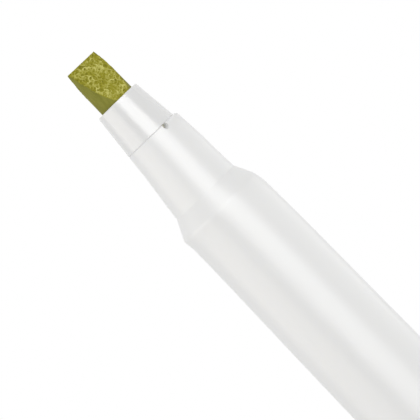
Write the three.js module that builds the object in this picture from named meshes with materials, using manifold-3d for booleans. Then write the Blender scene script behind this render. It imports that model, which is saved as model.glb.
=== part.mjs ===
// A broad calligraphy pen, uncapped, standing nib up on the crown of the cap that is posted on its tail.
// Millimetres. +Z runs along the pen's axis to the nib, and z = 0 is the flat crown that the pen stands on.
// The nib's chisel edge lies along X, so its two bevels face -Y and +Y. The cap's clip is on the +X side.
import * as THREE from "three";
import { mergeVertices } from "three/addons/utils/BufferGeometryUtils.js";
import Module from "manifold-3d";

const wasm = await Module();
wasm.setup();

// Clearances between pieces
const PRESS_GAP = 0.05; // pieces that are pressed together
const SLIDE_GAP = 0.08; // the cap on the tail boss
const END_GAP = 0.2; // the reservoir between its stops
const CUT_OVERSHOOT = 1; // how far a cutting shape runs past what it cuts

// Nib: a porous rod, cut on two sides to a chisel edge
const NIB_DIAMETER = 5.1;
const NIB_EDGE_SETBACK = 0.12; // each end of the writing edge, in from the rod's side
const NIB_EDGE_THICKNESS = 0.25;
const NIB_BEVEL_ANGLE = 18; // degrees, each side
const NIB_EXPOSED = 6.55;
const NIB_IN_RESERVOIR = 6;
const NIB_POINT_LENGTH = 1.6; // the tapered back end
const NIB_POINT_DIAMETER = 2.6;

// Nib holder: a short cone with a spigot that plugs into the neck
const HOLDER_FRONT_WALL = 0.625;
const HOLDER_TAPER = 0.62; // growth in radius from front to back
const HOLDER_LENGTH = 6.05;
const HOLDER_LIP_ROUND = 0.2;
const SPIGOT_WALL = 0.825;
const SPIGOT_SETBACK = 0.25; // its end, from the back of the neck
const SPIGOT_LEAD = 0.5; // chamfer at its end

// Vent: a round scoop out of the neck's lip, in line with the middle of the nib's front bevel, with a
// groove along the spigot behind it
const VENT_WIDTH = 1.0;
const VENT_LENGTH = 0.8; // how far behind the lip the scoop runs out of the wall
const VENT_BREAKTHROUGH = 0.08; // how far past the wall's inner side it cuts at the lip
const VENT_GROOVE_WIDTH = 0.7;
const VENT_GROOVE_DEPTH = 0.2;

// Barrel: neck, shoulder and body in one
const NECK_STEP = 0.25; // how far its lip stands out past the holder
const NECK_TAPER = 0.82; // growth in radius from front to back
const NECK_LENGTH = 9.8;
const NECK_LIP_ROUND = 0.12;
const NECK_FOOT_ROUND = 0.45;
const SHOULDER_RISE = 1.27; // growth in radius from neck to body
const SHOULDER_LENGTH = 2.6;
const SHOULDER_ROUND = 1.3;
const BODY_TAPER = 0.625; // growth in radius from shoulder to tail
const BODY_BULGE = 0.2; // how far the side stands out from a straight line, at its middle
const BODY_LENGTH = 88;
const BODY_END_ROUND = 0.25;
const BORE_CONE_DROP = 0.4; // the neck's bore runs on this far behind the neck
const BORE_CONE_END = 0.8; // the body's bore starts this far behind the shoulder
const TAIL_WALL = 1.25; // round the plug's spigot
const TAIL_RECESS_STEP = 0.15; // how far the recess for the spigot stands out from the bore
const RIB_COUNT = 6;
const RIB_WIDTH = 0.8;
const RIB_FRONT_HEIGHT = 0.28; // the bore widens away from the ribs' tops towards the tail

// Reservoir: a fibre core in a film sleeve, with a tube that lets air past it
const RESERVOIR_SETBACK = 0.5; // from the start of the body's bore
const FILM_THICKNESS = 0.2;
const FILM_OVERHANG = 0.4;
const TUBE_DIAMETER = 1.1;
const TUBE_WALL = 0.22;
const FIBRE_INSIDE_TUBE = 0.25; // left between the tube and the nib
const FIBRE_OUTSIDE_TUBE = 0.25; // left between the tube and the film
const TUBE_FRONT_REACH = 1.5;
const TUBE_BACK_REACH = 0.8;

// Tail plug: spigot with a snap bead, flange, and a boss that the cap is posted on
const PLUG_SPIGOT_LENGTH = 8;
const PLUG_WALL = 1.05;
const PLUG_BEAD_HEIGHT = 0.15;
const PLUG_BEAD_LENGTH = 1.2;
const PLUG_BEAD_SETBACK = 2.4; // from the flange
const FLANGE_THICKNESS = 1.2;
const FLANGE_ROUND = 0.3;
const BOSS_ROUND = 1.0;
const BOSS_END_WALL = 1.4;
const BOSS_TO_LINER = 1.5;
const PLUG_RIB_COUNT = 4;
const PLUG_RIB_WIDTH = 0.8;
const PLUG_RIB_REACH = 2.4; // from the wall towards the axis
const PLUG_RIB_HEIGHT = 5;

// Cap
const CAP_LENGTH = 36;
const CAP_RIM_WALL = 1.2;
const CAP_TAPER = 0.35; // the outside, from rim to crown
const CAP_BORE_TAPER = 0.3;
const CAP_CROWN_THICKNESS = 1.4;
const CAP_CROWN_ROUND = 0.8;
const CAP_RIM_ROUND = 0.3;
const CAP_BEAD_HEIGHT = 0.15;
const CAP_BEAD_LENGTH = 1.0;
const CAP_BEAD_SLOPE = 0.3; // the length of each of its two slopes
const CAP_BEAD_SETBACK = 0.8; // from the rim

// Clip, moulded with the cap
const CLIP_WIDTH = 3.6;
const CLIP_THICKNESS = 1.4;
const CLIP_GAP = 1.3; // between the arm and the cap
const CLIP_START = 1.6; // above the crown
const CLIP_LENGTH = 27;
const CLIP_ROOT_LENGTH = 4.5;
const CLIP_ROOT_ROUND = 0.4;
const CLIP_TIP_LENGTH = 3.2; // the part that bends in to grip
const CLIP_TIP_THICKNESS = 0.7;
const CLIP_TIP_GAP = 0.3;
const CLIP_ROUND = 1.0;

// Cap liner: a soft cup that seals on the nib holder when the cap is on the nib
const LINER_SEAL_REACH = 1.95; // how far past the neck's lip the cup's mouth then comes
const LINER_SEAL_GAP = 0.02;
const LINER_NIB_ROOM = 2.25; // from the nib's edge to the cup's floor
const LINER_TAPER = 0.2; // the cup's bore, from mouth to floor
const LINER_CUP_WALL = 0.8;
const LINER_FLOOR = 0.8;
const LINER_SKIRT_WALL = 0.8;
const LINER_LEAD_LENGTH = 0.5;
const LINER_LEAD_WIDTH = 0.25;

// Facets round each kind of piece
const OUTER_FACETS = 48;
const INNER_FACETS = 32;
const TUBE_FACETS = 12;
const ROUND_STEPS = 4; // facets in each rounded corner
const BODY_STEPS = 8; // stretches along the body's curved side

// Radii, from the nib outwards
const nibRadius = NIB_DIAMETER / 2;
const nibBoreRadius = nibRadius + PRESS_GAP;
const holderFrontRadius = nibBoreRadius + HOLDER_FRONT_WALL;
const holderBackRadius = holderFrontRadius + HOLDER_TAPER;
const spigotRadius = nibBoreRadius + SPIGOT_WALL;
const neckBoreRadius = spigotRadius + PRESS_GAP;
const neckFrontRadius = holderBackRadius + NECK_STEP;
const neckBackRadius = neckFrontRadius + NECK_TAPER;
const bodyFrontRadius = neckBackRadius + SHOULDER_RISE;
const bodyBackRadius = bodyFrontRadius + BODY_TAPER;

const tubeRadius = TUBE_DIAMETER / 2;
const tubeHoleRadius = tubeRadius + PRESS_GAP;
const tubeOffset = nibBoreRadius + FIBRE_INSIDE_TUBE + tubeHoleRadius;
const reservoirRadius = tubeOffset + tubeHoleRadius + FIBRE_OUTSIDE_TUBE;
const filmBoreRadius = reservoirRadius + PRESS_GAP;
const filmRadius = filmBoreRadius + FILM_THICKNESS;
const ribTopRadius = filmRadius + PRESS_GAP;
const bodyBoreFrontRadius = ribTopRadius + RIB_FRONT_HEIGHT;
const tailRecessRadius = bodyBackRadius - TAIL_WALL;
const bodyBoreBackRadius = tailRecessRadius - TAIL_RECESS_STEP;
const plugSpigotRadius = tailRecessRadius - PRESS_GAP;

const bossRadius = neckBackRadius; // so that the cap fits both ends
const capBeadRadius = bossRadius + SLIDE_GAP;
const capMouthRadius = capBeadRadius + CAP_BEAD_HEIGHT;
const capRimRadius = capMouthRadius + CAP_RIM_WALL;
const capCrownRadius = capRimRadius - CAP_TAPER;
const capBoreEndRadius = capMouthRadius - CAP_BORE_TAPER;

// Depths inside the cap, from its rim
const linerMouthDepth = NECK_LENGTH + LINER_SEAL_REACH;
const linerFloorDepth = NECK_LENGTH + HOLDER_LENGTH + NIB_EXPOSED + LINER_NIB_ROOM;
const bossLength = linerMouthDepth - BOSS_TO_LINER;

// Heights of the joints between pieces
const rimZ = CAP_LENGTH;
const tailZ = rimZ + FLANGE_THICKNESS;
const shoulderBackZ = tailZ + BODY_LENGTH;
const neckBackZ = shoulderBackZ + SHOULDER_LENGTH;
const seamZ = neckBackZ + NECK_LENGTH;
const holderFrontZ = seamZ + HOLDER_LENGTH;
const nibTipZ = holderFrontZ + NIB_EXPOSED;
const spigotBackZ = neckBackZ + SPIGOT_SETBACK;
const boreTopZ = shoulderBackZ - BORE_CONE_END;
const reservoirFrontZ = boreTopZ - RESERVOIR_SETBACK;
const reservoirBackZ = tailZ + PLUG_SPIGOT_LENGTH + END_GAP;
const nibBackZ = reservoirFrontZ - NIB_IN_RESERVOIR;

const degrees = THREE.MathUtils.degToRad;

// An outline through corners [x, y, round], where a corner with a round becomes an arc of that radius.
function outline(corners) {
  const points = [];
  corners.forEach(([x, y, round = 0], i) => {
    const here = new THREE.Vector2(x, y);
    if (!round) {
      points.push(here);
      return;
    }
    const before = new THREE.Vector2(...corners.at(i - 1)).sub(here).normalize();
    const after = new THREE.Vector2(...corners[(i + 1) % corners.length]).sub(here).normalize();
    const half = Math.acos(before.dot(after)) / 2;
    const middle = before.clone().add(after).normalize();
    const centre = here.clone().addScaledVector(middle, round / Math.sin(half));
    const from = here.clone().addScaledVector(before, round / Math.tan(half)).sub(centre);
    const sweep = (Math.PI - 2 * half) * Math.sign(after.cross(before));
    for (let step = 0; step <= ROUND_STEPS; step++) {
      const turned = from.clone().rotateAround(new THREE.Vector2(), (sweep * step) / ROUND_STEPS);
      points.push(turned.add(centre));
    }
  });
  return points;
}

// A turned piece. Its corners run up the outside; they start and end on the axis, or close on themselves.
function turned(corners, facets = OUTER_FACETS) {
  const points = outline(corners);
  if (points[0].x > 0) points.push(points[0].clone());
  return new THREE.LatheGeometry(points, facets).rotateX(Math.PI / 2);
}

// A flat outline in x and z, made width thick and centred on y = 0.
function slab(corners, width) {
  const shape = new THREE.Shape(outline(corners));
  const geometry = new THREE.ExtrudeGeometry(shape, { depth: width, bevelEnabled: false });
  return geometry.rotateX(Math.PI / 2).translate(0, width / 2, 0);
}

// A radial rib from one radius to another, standing on fromZ and turned by an angle.
function rib(fromRadius, toRadius, width, fromZ, height, angle) {
  const length = toRadius - fromRadius;
  return new THREE.BoxGeometry(length, width, height)
    .translate(fromRadius + length / 2, 0, fromZ + height / 2)
    .rotateZ(angle);
}

function toSolid(geometry) {
  const bare = geometry.clone();
  bare.deleteAttribute("normal");
  bare.deleteAttribute("uv");
  const merged = mergeVertices(bare, 1e-4);
  const kept = [];
  for (let i = 0; i < merged.index.count; i += 3) {
    const [a, b, c] = [0, 1, 2].map((k) => merged.index.getX(i + k));
    if (a !== b && b !== c && c !== a) kept.push(a, b, c);
  }
  const vertProperties = new Float32Array(merged.attributes.position.array);
  return new wasm.Manifold(
    new wasm.Mesh({ numProp: 3, vertProperties, triVerts: new Uint32Array(kept) }),
  );
}

function toGeometry(solid) {
  const mesh = solid.getMesh();
  const geometry = new THREE.BufferGeometry();
  geometry.setAttribute("position", new THREE.BufferAttribute(mesh.vertProperties, 3));
  geometry.setIndex(new THREE.BufferAttribute(mesh.triVerts, 1));
  geometry.computeVertexNormals();
  return geometry;
}

// A geometry with others joined on and then others cut out.
function combined(geometry, { joined = [], cut = [] }) {
  let solid = toSolid(geometry);
  for (const other of joined) solid = solid.add(toSolid(other));
  for (const other of cut) solid = solid.subtract(toSolid(other));
  return toGeometry(solid);
}

function nib() {
  const rod = turned([
    [0, nibBackZ],
    [NIB_POINT_DIAMETER / 2, nibBackZ],
    [nibRadius, nibBackZ + NIB_POINT_LENGTH],
    [nibRadius, holderFrontZ],
    [nibRadius - NIB_EDGE_SETBACK, nibTipZ],
    [0, nibTipZ],
  ]);
  // What each bevel takes away, seen along the writing edge
  const slope = Math.tan(degrees(NIB_BEVEL_ANGLE));
  const topZ = nibTipZ + CUT_OVERSHOOT;
  const footZ = nibTipZ - (nibRadius - NIB_EDGE_THICKNESS / 2) / slope - CUT_OVERSHOOT;
  const faceX = (z) => NIB_EDGE_THICKNESS / 2 + (nibTipZ - z) * slope;
  const clearX = nibRadius + faceX(footZ);
  const bevel = (side) =>
    slab(
      [
        [side * faceX(topZ), topZ],
        [side * faceX(footZ), footZ],
        [side * clearX, footZ],
        [side * clearX, topZ],
      ],
      NIB_DIAMETER + 2 * CUT_OVERSHOOT,
    ).rotateZ(Math.PI / 2);
  return combined(rod, { cut: [bevel(-1), bevel(1)] });
}

function nibHolder() {
  const body = turned([
    [nibBoreRadius, spigotBackZ],
    [spigotRadius - SPIGOT_LEAD, spigotBackZ],
    [spigotRadius, spigotBackZ + SPIGOT_LEAD],
    [spigotRadius, seamZ],
    [holderBackRadius, seamZ],
    [holderFrontRadius, holderFrontZ, HOLDER_LIP_ROUND],
    [nibBoreRadius, holderFrontZ],
  ]);
  const grooveLength = seamZ - spigotBackZ + CUT_OVERSHOOT;
  const groove = new THREE.BoxGeometry(
    VENT_GROOVE_WIDTH,
    2 * VENT_GROOVE_DEPTH,
    grooveLength,
  ).translate(0, -spigotRadius, seamZ - grooveLength / 2);
  return combined(body, { cut: [groove] });
}

// The body's outer radius at a share of its length, from the tail to the shoulder
const bodyRadius = (share) =>
  THREE.MathUtils.lerp(bodyBackRadius, bodyFrontRadius, share) +
  4 * BODY_BULGE * share * (1 - share);

function barrel() {
  const side = [];
  for (let step = 1; step < BODY_STEPS; step++)
    side.push([bodyRadius(step / BODY_STEPS), tailZ + (BODY_LENGTH * step) / BODY_STEPS]);
  const grooveRadius = tailRecessRadius + PLUG_BEAD_HEIGHT;
  const grooveZ = tailZ + PLUG_BEAD_SETBACK - PRESS_GAP;
  const grooveTopZ = grooveZ + PLUG_BEAD_LENGTH + 2 * PRESS_GAP;
  const recessTopZ = tailZ + PLUG_SPIGOT_LENGTH + PRESS_GAP;
  const shell = turned([
    [tailRecessRadius, tailZ],
    [bodyBackRadius, tailZ, BODY_END_ROUND],
    ...side,
    [bodyFrontRadius, shoulderBackZ, SHOULDER_ROUND],
    [neckBackRadius, neckBackZ, NECK_FOOT_ROUND],
    [neckFrontRadius, seamZ, NECK_LIP_ROUND],
    [neckBoreRadius, seamZ],
    [neckBoreRadius, neckBackZ - BORE_CONE_DROP],
    [bodyBoreFrontRadius, boreTopZ],
    [bodyBoreBackRadius, recessTopZ],
    [tailRecessRadius, recessTopZ],
    [tailRecessRadius, grooveTopZ],
    [grooveRadius, grooveTopZ],
    [grooveRadius, grooveZ],
    [tailRecessRadius, grooveZ],
  ]);
  // Ribs keep the reservoir off the wall, so that air can pass
  const ribBackZ = reservoirBackZ + END_GAP;
  const ribs = Array.from({ length: RIB_COUNT }, (_, i) =>
    rib(
      ribTopRadius,
      bodyBoreBackRadius + PRESS_GAP,
      RIB_WIDTH,
      ribBackZ,
      reservoirFrontZ - ribBackZ,
      (i * 2 * Math.PI) / RIB_COUNT,
    ),
  );
  return combined(shell, { joined: ribs, cut: [ventScoop()] });
}

// A tilted cylinder: its lowest line goes through the wall at the lip, and leaves it further back
function ventScoop() {
  const lipRadius = neckBoreRadius - VENT_BREAKTHROUGH;
  const tilt = Math.atan((neckFrontRadius - lipRadius) / VENT_LENGTH);
  const radius = VENT_WIDTH / 2;
  const length = 2 * (VENT_LENGTH + VENT_WIDTH + CUT_OVERSHOOT);
  return new THREE.CylinderGeometry(radius, radius, length, TUBE_FACETS)
    .rotateX(Math.PI / 2 - tilt)
    .translate(0, -lipRadius - radius * Math.cos(tilt), seamZ + radius * Math.sin(tilt));
}

// The breather tube passes between two of the tail plug's ribs
const tubeTurn = Math.PI / PLUG_RIB_COUNT;

function reservoirCore() {
  const socketZ = nibBackZ - PRESS_GAP;
  const core = turned(
    [
      [0, reservoirBackZ],
      [reservoirRadius, reservoirBackZ],
      [reservoirRadius, reservoirFrontZ],
      [nibBoreRadius, reservoirFrontZ],
      [nibBoreRadius, socketZ + NIB_POINT_LENGTH],
      [NIB_POINT_DIAMETER / 2 + PRESS_GAP, socketZ],
      [0, socketZ],
    ],
    INNER_FACETS,
  );
  const holeLength = reservoirFrontZ - reservoirBackZ + 2 * CUT_OVERSHOOT;
  const hole = new THREE.CylinderGeometry(tubeHoleRadius, tubeHoleRadius, holeLength, TUBE_FACETS)
    .rotateX(Math.PI / 2)
    .translate(tubeOffset, 0, (reservoirBackZ + reservoirFrontZ) / 2)
    .rotateZ(tubeTurn);
  return combined(core, { cut: [hole] });
}

function reservoirFilm() {
  return turned(
    [
      [filmBoreRadius, reservoirBackZ],
      [filmRadius, reservoirBackZ],
      [filmRadius, reservoirFrontZ + FILM_OVERHANG],
      [filmBoreRadius, reservoirFrontZ + FILM_OVERHANG],
    ],
    INNER_FACETS,
  );
}

function breatherTube() {
  const backZ = reservoirBackZ - TUBE_BACK_REACH;
  const frontZ = reservoirFrontZ + TUBE_FRONT_REACH;
  return turned(
    [
      [tubeRadius - TUBE_WALL, backZ],
      [tubeRadius, backZ],
      [tubeRadius, frontZ],
      [tubeRadius - TUBE_WALL, frontZ],
    ],
    TUBE_FACETS,
  )
    .translate(tubeOffset, 0, 0)
    .rotateZ(tubeTurn);
}

function tailPlug() {
  const hollowRadius = plugSpigotRadius - PLUG_WALL;
  const bossHollowRadius = bossRadius - PLUG_WALL;
  const spigotTopZ = tailZ + PLUG_SPIGOT_LENGTH;
  const bossEndZ = rimZ - bossLength;
  const beadZ = tailZ + PLUG_BEAD_SETBACK;
  const body = turned([
    [0, bossEndZ],
    [bossRadius, bossEndZ, BOSS_ROUND],
    [bossRadius, rimZ],
    [bodyBackRadius, rimZ, FLANGE_ROUND],
    [bodyBackRadius, tailZ, FLANGE_ROUND],
    [plugSpigotRadius, tailZ],
    [plugSpigotRadius, beadZ],
    [plugSpigotRadius + PLUG_BEAD_HEIGHT, beadZ + PLUG_BEAD_LENGTH / 2],
    [plugSpigotRadius, beadZ + PLUG_BEAD_LENGTH],
    [plugSpigotRadius, spigotTopZ],
    [hollowRadius, spigotTopZ],
    [hollowRadius, tailZ],
    [bossHollowRadius, tailZ],
    [bossHollowRadius, bossEndZ + BOSS_END_WALL],
    [0, bossEndZ + BOSS_END_WALL],
  ]);
  // Ribs in the spigot stop the reservoir's back end
  const ribs = Array.from({ length: PLUG_RIB_COUNT }, (_, i) =>
    rib(
      hollowRadius - PLUG_RIB_REACH,
      hollowRadius + PRESS_GAP,
      PLUG_RIB_WIDTH,
      spigotTopZ - PLUG_RIB_HEIGHT,
      PLUG_RIB_HEIGHT,
      (i * 2 * Math.PI) / PLUG_RIB_COUNT,
    ),
  );
  return combined(body, { joined: ribs });
}

// The cap's outer radius and bore radius at a height above its crown
const capRadius = (z) => THREE.MathUtils.lerp(capCrownRadius, capRimRadius, z / CAP_LENGTH);
const capBoreRadius = (z) => {
  const share = (z - CAP_CROWN_THICKNESS) / (CAP_LENGTH - CAP_CROWN_THICKNESS);
  return THREE.MathUtils.lerp(capBoreEndRadius, capMouthRadius, share);
};

function clip() {
  const endZ = CLIP_START + CLIP_LENGTH;
  const rootEndZ = CLIP_START + CLIP_ROOT_LENGTH;
  const bendZ = endZ - CLIP_TIP_LENGTH;
  const inside = capRadius(rootEndZ) + CLIP_GAP;
  const outside = inside + CLIP_THICKNESS;
  const buried = capBoreRadius(rootEndZ) + PRESS_GAP;
  const gripX = capRadius(endZ) + CLIP_TIP_GAP;
  return slab(
    [
      [buried, CLIP_START],
      [outside, CLIP_START, CLIP_ROUND],
      [outside, bendZ, CLIP_ROUND],
      [gripX + CLIP_TIP_THICKNESS, endZ],
      [gripX, endZ - CLIP_TIP_THICKNESS],
      [inside, bendZ - CLIP_TIP_THICKNESS],
      [inside, rootEndZ, CLIP_ROOT_ROUND],
      [buried, rootEndZ],
    ],
    CLIP_WIDTH,
  );
}

function capShell() {
  const beadTopZ = CAP_LENGTH - CAP_BEAD_SETBACK;
  const beadZ = beadTopZ - CAP_BEAD_LENGTH;
  const shell = turned([
    [0, 0],
    [capCrownRadius, 0, CAP_CROWN_ROUND],
    [capRimRadius, CAP_LENGTH, CAP_RIM_ROUND],
    [capMouthRadius, CAP_LENGTH],
    [capMouthRadius, beadTopZ],
    [capBeadRadius, beadTopZ - CAP_BEAD_SLOPE],
    [capBeadRadius, beadZ + CAP_BEAD_SLOPE],
    [capBoreRadius(beadZ), beadZ],
    [capBoreEndRadius, CAP_CROWN_THICKNESS],
    [0, CAP_CROWN_THICKNESS],
  ]);
  return combined(shell, { joined: [clip()] });
}

function capLiner() {
  const mouthZ = CAP_LENGTH - linerMouthDepth;
  const floorZ = CAP_LENGTH - linerFloorDepth;
  const skirtTopZ = floorZ - LINER_FLOOR;
  const skirtRadius = (z) => capBoreRadius(z) - PRESS_GAP;
  const skirtInside = skirtRadius(CAP_CROWN_THICKNESS) - LINER_SKIRT_WALL;
  const holderRadius = holderBackRadius - (HOLDER_TAPER * LINER_SEAL_REACH) / HOLDER_LENGTH;
  const mouthRadius = holderRadius + LINER_SEAL_GAP;
  const cupRadius = mouthRadius + LINER_CUP_WALL;
  return turned(
    [
      [0, skirtTopZ],
      [skirtInside, skirtTopZ],
      [skirtInside, CAP_CROWN_THICKNESS],
      [skirtRadius(CAP_CROWN_THICKNESS), CAP_CROWN_THICKNESS],
      [skirtRadius(skirtTopZ), skirtTopZ],
      [cupRadius, floorZ],
      [cupRadius, mouthZ],
      [mouthRadius + LINER_LEAD_WIDTH, mouthZ],
      [mouthRadius, mouthZ - LINER_LEAD_LENGTH],
      [mouthRadius - LINER_TAPER, floorZ],
      [0, floorZ],
    ],
    INNER_FACETS,
  );
}

// Finishes
const whitePlastic = { color: 0xedece8, roughness: 0.38, metalness: 0 };
const colouredPlastic = { color: 0x8a8f2a, roughness: 0.35, metalness: 0 };
const inkedNib = { color: 0x9c9a3c, roughness: 0.85, metalness: 0 };
const inkedFibre = { color: 0x7d7f2c, roughness: 0.95, metalness: 0 };
const film = { color: 0xd9dcc4, roughness: 0.25, metalness: 0 };
const naturalPlastic = { color: 0xe6e6de, roughness: 0.5, metalness: 0 };

function piece(name, geometry, finish) {
  const mesh = new THREE.Mesh(geometry, new THREE.MeshStandardMaterial(finish));
  mesh.name = name;
  return mesh;
}

const pen = new THREE.Group();
pen.add(
  piece("nib", nib(), inkedNib),
  piece("nib_holder", nibHolder(), whitePlastic),
  piece("barrel", barrel(), whitePlastic),
  piece("reservoir_core", reservoirCore(), inkedFibre),
  piece("reservoir_film", reservoirFilm(), film),
  piece("breather_tube", breatherTube(), naturalPlastic),
  piece("tail_plug", tailPlug(), colouredPlastic),
);

const cap = new THREE.Group();
cap.add(
  piece("cap_shell", capShell(), colouredPlastic),
  piece("cap_liner", capLiner(), naturalPlastic),
);

const whole = new THREE.Group();
whole.add(pen, cap);

export default whole;
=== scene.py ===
# A broad calligraphy pen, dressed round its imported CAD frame. Metres, with +Z along the pen to the nib.
import math
import random
import bmesh
import bpy
from mathutils import Matrix, Vector


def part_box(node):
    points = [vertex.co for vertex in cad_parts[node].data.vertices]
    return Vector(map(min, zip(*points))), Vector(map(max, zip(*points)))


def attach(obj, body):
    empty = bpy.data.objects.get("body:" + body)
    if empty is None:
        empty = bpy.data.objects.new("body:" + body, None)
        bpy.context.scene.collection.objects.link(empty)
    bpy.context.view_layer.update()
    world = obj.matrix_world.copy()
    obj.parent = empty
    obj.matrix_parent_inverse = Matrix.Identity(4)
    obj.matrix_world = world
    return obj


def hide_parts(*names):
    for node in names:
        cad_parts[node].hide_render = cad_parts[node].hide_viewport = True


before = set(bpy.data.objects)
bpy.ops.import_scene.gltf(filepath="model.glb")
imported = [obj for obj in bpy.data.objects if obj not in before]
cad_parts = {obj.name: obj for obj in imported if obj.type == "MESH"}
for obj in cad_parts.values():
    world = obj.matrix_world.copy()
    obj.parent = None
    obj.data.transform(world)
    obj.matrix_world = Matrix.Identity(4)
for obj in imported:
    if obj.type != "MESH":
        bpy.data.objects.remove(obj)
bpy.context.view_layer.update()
print("Frame loaded with nodes", ", ".join(sorted(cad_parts)))

mm = 0.001
turnSteps = 128  # facets round each turned piece
facet = math.tau / turnSteps
roundSteps = 6  # facets in each rounded corner
creaseAngle = 38  # degrees, above which an edge stays sharp
mergeDistance = 1e-7  # metres
closeTo = 0.002  # mm, within which two places count as one
testMargin = 0.1  # mm, by which a test for faces or points reaches past them
facing = 0.9  # a face points along an axis if its normal has this much of it
noiseRange = (0.3, 0.7)  # nearly all of a noise texture's values lie between these
# Where the photograph was taken from, in degrees, and the level way to its right
viewAzimuth = -28
viewSide = Vector((math.cos(math.radians(viewAzimuth)), math.sin(math.radians(viewAzimuth)), 0))


# Lowest and highest corner of a CAD node, in mm
def span(node):
    low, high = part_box(node)
    return low / mm, high / mm


# Selects the vertices, edges or faces that pass a test, in edit mode
def pick(piece, kind, test):
    modes = {"verts": "VERT", "edges": "EDGE", "faces": "FACE"}
    bpy.ops.mesh.select_mode(type=modes[kind])
    bpy.ops.mesh.select_all(action="DESELECT")
    mesh = bmesh.from_edit_mesh(piece.data)
    for element in getattr(mesh, kind):
        element.select_set(bool(test(element)))
    mesh.select_flush_mode()
    bmesh.update_edit_mesh(piece.data)


# Extrudes what is selected, by a step in mm
def extrude(*step):
    bpy.ops.mesh.extrude_region_move(TRANSFORM_OT_translate={"value": [s * mm for s in step]})


# Whether a point is at a place in the XZ plane, given in mm
def isAt(point, x, z):
    return math.hypot(point.x - x * mm, point.z - z * mm) < closeTo * mm


# How far from a rounded corner its arc starts, for three corners (x, z)
def arcStart(before, corner, after, radius):
    back = Vector(before[:2]) - Vector(corner[:2])
    ahead = Vector(after[:2]) - Vector(corner[:2])
    return radius / math.tan(back.angle(ahead) / 2)


# Turns corners (radius, height, optional round), in mm, into a piece of revolution.
# The outline starts and ends on the axis, or closes on itself.
def turnPiece(name, corners):
    onAxis = corners[0][0] == 0
    bpy.ops.object.select_all(action="DESELECT")
    bpy.ops.mesh.primitive_plane_add(size=mm)
    piece = bpy.context.object
    piece.name = name
    piece.data.name = name
    bpy.ops.object.mode_set(mode="EDIT")
    bpy.ops.mesh.select_mode(type="VERT")
    bpy.ops.mesh.select_all(action="SELECT")
    bpy.ops.mesh.merge(type="CENTER")
    bpy.ops.transform.translate(value=(corners[0][0] * mm, 0, corners[0][1] * mm))
    for here, there in zip(corners, corners[1:]):
        extrude(there[0] - here[0], 0, there[1] - here[1])
    if not onAxis:
        first, last = corners[0], corners[-1]
        pick(piece, "verts", lambda v: isAt(v.co, *first[:2]) or isAt(v.co, *last[:2]))
        bpy.ops.mesh.edge_face_add()
    for i, corner in enumerate(corners):
        if len(corner) < 3:
            continue
        before, after = corners[i - 1], corners[(i + 1) % len(corners)]
        pick(piece, "verts", lambda v: isAt(v.co, *corner[:2]))
        bpy.ops.mesh.bevel(
            offset=arcStart(before, corner, after, corner[2]) * mm, segments=roundSteps, affect="VERTICES"
        )
    bpy.ops.mesh.select_all(action="SELECT")
    bpy.ops.mesh.spin(steps=turnSteps, angle=math.tau, center=(0, 0, 0), axis=(0, 0, 1))
    tidyMesh()
    return piece


# Closes seams and poles, and faces everything outwards
def tidyMesh():
    bpy.ops.mesh.select_all(action="SELECT")
    bpy.ops.mesh.remove_doubles(threshold=mergeDistance)
    bpy.ops.mesh.normals_make_consistent(inside=False)


# Leaves edit mode with only this piece selected
def pickObject(piece):
    if bpy.context.object and bpy.context.object.mode == "EDIT":
        bpy.ops.object.mode_set(mode="OBJECT")
    bpy.ops.object.select_all(action="DESELECT")
    piece.select_set(True)
    bpy.context.view_layer.objects.active = piece


# Adds a modifier with its settings and applies it
def applyModifier(piece, kind, **settings):
    modifier = piece.modifiers.new(kind.lower(), kind)
    for name, value in settings.items():
        setattr(modifier, name, value)
    bpy.ops.object.modifier_apply(modifier=modifier.name)


# Cuts the shape that is being edited out of a piece
def cutAway(piece):
    cutter = bpy.context.object
    pickObject(piece)
    applyModifier(piece, "BOOLEAN", object=cutter, operation="DIFFERENCE", solver="EXACT")
    bpy.data.objects.remove(cutter)


# Turns what is being edited about an axis through a point, by an angle in radians
def turnAbout(axis, angle, centre=(0, 0, 0)):
    bpy.ops.mesh.select_all(action="SELECT")
    # With no window the operator turns the other way
    bpy.ops.transform.rotate(value=-angle, orient_axis=axis, center_override=centre)


# Shades a finished piece, gives it its materials, and puts it in place of its CAD node
def finishPiece(piece, node, body, materials):
    pickObject(piece)
    bpy.ops.object.shade_smooth_by_angle(angle=math.radians(creaseAngle))
    applyModifier(piece, "WEIGHTED_NORMAL", keep_sharp=True)
    for material in materials:
        piece.data.materials.append(material)
    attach(piece, body)
    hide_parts(node)
    print(piece.name, "done:", len(piece.data.polygons), "faces")


# Colour from an sRGB hex value to the linear values that sockets take
def colour(hexValue):
    parts = [int(hexValue[i:i + 2], 16) / 255 for i in (1, 3, 5)]
    return [p / 12.92 if p < 0.04045 else ((p + 0.055) / 1.055) ** 2.4 for p in parts] + [1]


# Adds a node with its settings; an input is given a value or linked to another node's output
def addNode(tree, kind, inputs=None, **settings):
    node = tree.nodes.new(kind)
    for name, value in settings.items():
        setattr(node, name, value)
    for name, value in (inputs or {}).items():
        if isinstance(value, bpy.types.NodeSocket):
            tree.links.new(value, node.inputs[name])
        else:
            node.inputs[name].default_value = value
    return node


# A material with its shader, and its object's coordinates in mm
def startMaterial(name, values):
    material = bpy.data.materials.new(name)
    material.use_nodes = True
    tree = material.node_tree
    shader = tree.nodes["Principled BSDF"]
    shader.inputs["Base Color"].default_value = colour(values["colour"])
    shader.inputs["Roughness"].default_value = values["roughness"]
    shader.inputs["IOR"].default_value = values["ior"]
    where = addNode(tree, "ShaderNodeTexCoord")
    inMm = addNode(tree, "ShaderNodeMapping", {"Vector": where.outputs["Object"], "Scale": [1 / mm] * 3})
    return material, tree, shader, inMm.outputs["Vector"]


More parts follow.
